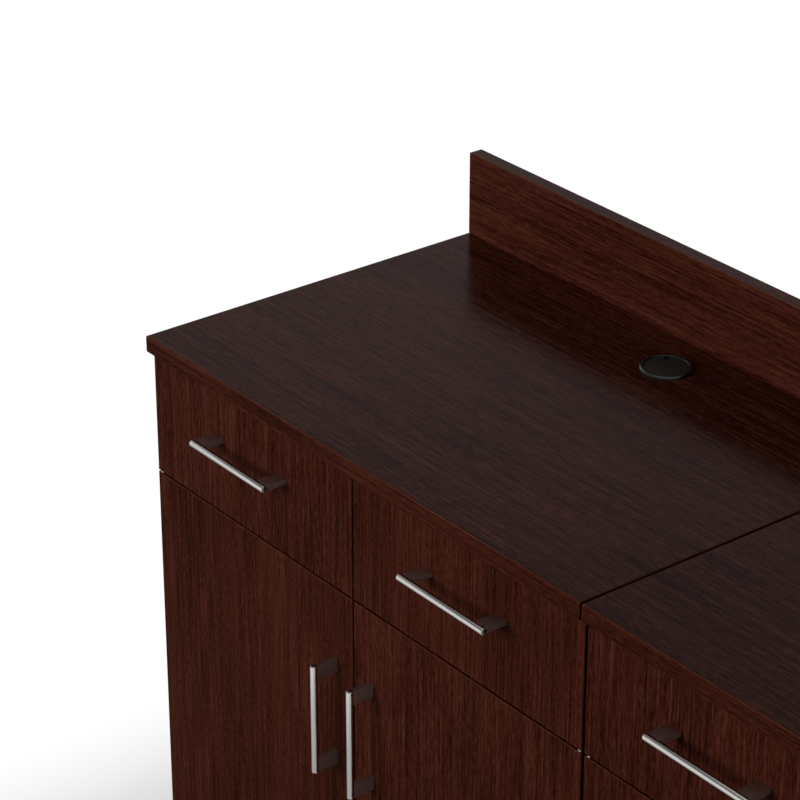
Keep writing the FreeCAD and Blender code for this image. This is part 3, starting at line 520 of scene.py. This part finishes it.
def finishes_for(name):
    """The finishes of a CAD node, by what the piece is. Each panel has its own stretch of the print.

    A worktop or backsplash has three: its top, the duller band on its long upright faces and that on its
    ends. A front has two: its upper and lower edges, darkened as painted shade for the gaps between
    fronts, and its face.
    """
    turn = sum(map(ord, name)) % PRINT_STRETCHES
    shift, box = [step * turn for step in PRINT_STEP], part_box(name)
    if name.endswith(("worktop", "backsplash")):
        end_grain, end_across, tones = (("Y", (2.1, 1, 2.1), MAHOGANY) if name.endswith("worktop")
                                        else ("Z", UPRIGHT, PALE_BAND))
        return [mahogany_laminate(f"mahogany laminate {name}", "X", shift, LEVEL, LEVEL_RUN,
                                  0.022, 0.19, box),
                mahogany_laminate(f"mahogany band {name}", "X", shift, LEVEL, LEVEL_RUN,
                                  0.003, 0.3, box, tones),
                mahogany_laminate(f"mahogany end band {name}", end_grain, shift, end_across, LEVEL_RUN,
                                  0.003, 0.3, box, tones)]
    if name.endswith(("_panel", "_front")):
        face = mahogany_laminate(f"mahogany laminate {name}", "Z", shift, UPRIGHT, FRONT_RUN,
                                 0.002, 0.24, box)
        return [gap_shaded_edge_band, face]
    if name.endswith("_side"):
        return [mahogany_laminate(f"mahogany laminate {name}", "Z", shift, UPRIGHT, UPRIGHT_RUN, 0.004, 0.28,
                                  box)]
    if name.endswith("_shelf"):
        return [mahogany_laminate(f"mahogany laminate {name}", "X", shift, LEVEL, LEVEL_RUN, 0.01, 0.28, box)]
    if name.endswith("cabinet_back"):
        return [fibre]
    if name == "toe_kicks":
        return [kick]
    if name.endswith(("slide_rails", "hinge_pins", "_channels", "_brackets", "_bolts", "_pins")):
        return [zinc]
    if name in ("grommet_cap", "leveling_feet"):
        return [moulded]
    if name == "grommet_liner":
        return [glossy_rim]
    if name == "door_bumpers":
        return [bumper]
    if name.startswith("drawer_") and name.endswith(("_box", "_bottom")):
        return [maple]
    return [inner]


for name, thing in nodes.items():
    if not name.endswith("_pull"):
        mesh = thing.data
        mesh.materials.clear()
        for finish in finishes_for(name):
            mesh.materials.append(finish)
        if len(mesh.materials) > 1:
            facing = np.empty(3 * len(mesh.polygons), np.float32)
            mesh.polygons.foreach_get("normal", facing)
            # Finish of the faces that look along X, Y and Z
            slots = np.array((2, 1, 0) if len(mesh.materials) == 3 else (1, 1, 0), np.int32)
            mesh.polygons.foreach_set("material_index", slots[np.argmax(abs(facing.reshape(-1, 3)), 1)])


# Pulls and screws

LEG, LEG_ROUND = (21.5 * MM, 8 * MM), 0.5 * MM
BAR, BAR_ROUND = 5 * MM, 0.9 * MM
# Radius and height of the screw heads
PULL_SCREW, HINGE_SCREW, BACK_SCREW = (4.2 * MM, 2.2 * MM), (3.1 * MM, 0.3 * MM), (3.6 * MM, 1.8 * MM)
# Roughness of the nickel, and the facing weights between which the painted edge shade sets in
BAR_SATIN, LEG_SATIN = (0.24, 0.4, 0.72), (0.36, 0.75, 1.0)
level_nickel = satin_nickel("satin nickel level", "X", *BAR_SATIN)
upright_nickel = satin_nickel("satin nickel upright", "Z", *BAR_SATIN)
leg_nickel = satin_nickel("satin nickel leg", "Y", *LEG_SATIN)


def pull(name):
    """A round bar on two flat legs that stand on the front, in the place of the CAD pull.

    Gives the points where the legs' axes meet the bar's.
    """
    low, high = map(np.array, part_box(f"{name}_pull"))
    upright = high[2] - low[2] > high[0] - low[0]
    run = np.array((0, 0, 1)) if upright else np.array((1, 0, 0))
    across = np.array((1, 0, 0)) if upright else np.array((0, 0, 1))
    length = (high - low) @ run
    start = np.where(run, low, (low + high) / 2)
    start[1] = low[1] + BAR
    out = np.array((0, 1, 0))
    ends = [start + run * along for along in (LEG[0] / 2, length - LEG[0] / 2)]
    leg = flat_leg(high[1] - start[1], *LEG, LEG_ROUND)
    shells = [carried(round_bar(length, BAR, BAR_ROUND), start, (run, out, across))]
    shells += [carried(leg, end, (out, run, across)) for end in ends]
    finishes = [upright_nickel if upright else level_nickel, leg_nickel]
    made = piece(f"{name}_bar_pull", shells, name, finishes)
    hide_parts(f"{name}_pull")
    return ends


def screws(name, body, spots, outward, radius, height):
    """Cross slotted heads on a face that looks outward, one at each spot."""
    outward = np.array(outward, float)
    run = np.array((0, 0, 1.0)) if abs(outward[2]) < 0.5 else np.array((1.0, 0, 0))
    axes = (outward, run, np.cross(outward, run))
    head = cross_head(radius, height, 0.55 * height + SEAT)
    return piece(name, [carried(head, spot, axes) for spot in spots], body, [zinc])


BOX_WALL, HALF_GAP = 12 * MM, 1.5 * MM
# Insets of the screws from the drawer box's sides, foot and top, the hinge lines and the back's edges
SIDE_INSET, FOOT_INSET, TOP_INSET = 45 * MM, 34 * MM, 24 * MM
LEAF_NEAR, LEAF_FAR = 13 * MM, 29 * MM
BACK_INSET, BACK_FOOT, BACK_TOP, BACK_COLUMNS = 60 * MM, 9 * MM, 45 * MM, 5
for number in range(1, 5):
    drawer, door = f"drawer_{number}", f"door_{number}"
    ends = pull(drawer)
    low, high = map(np.array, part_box(f"{drawer}_box"))
    inside = low[1] + BOX_WALL
    spots = [(end[0], inside, end[2]) for end in ends]
    spots += [(x, inside, z) for x in (low[0] + SIDE_INSET, high[0] - SIDE_INSET)
              for z in (low[2] + FOOT_INSET, high[2] - TOP_INSET)]
    screws(f"{drawer}_screws", drawer, spots, (0, 1, 0), *PULL_SCREW)
    ends = pull(door)
    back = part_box(f"{door}_panel")[1][1]
    screws(f"{door}_pull_screws", door, [(end[0], back, end[2]) for end in ends], (0, 1, 0), *PULL_SCREW)

leaf_spots, back_spots = [], []
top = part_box("door_1_panel")[1][2] + HALF_GAP
low_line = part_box("door_1_panel")[0][2] - HALF_GAP
for module in ("left", "right"):
    for hand in ("left", "right"):
        low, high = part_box(f"{module}_cabinet_{hand}_side")
        leaf_spots += [((low[0] + high[0]) / 2, low[1], z) for z in (
            top - LEAF_FAR, top - LEAF_NEAR, low_line + LEAF_NEAR, low_line + LEAF_FAR)]
    low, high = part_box(f"{module}_cabinet_back")
    columns = np.linspace(low[0] + BACK_INSET, high[0] - BACK_INSET, BACK_COLUMNS)
    back_spots += [(x, high[1], z) for x in columns for z in (low[2] + BACK_FOOT, top, high[2] - BACK_TOP)]
screws("hinge_screws", "cabinets", leaf_spots, (0, -1, 0), *HINGE_SCREW)
screws("back_screws", "cabinets", back_spots, (0, 1, 0), *BACK_SCREW)
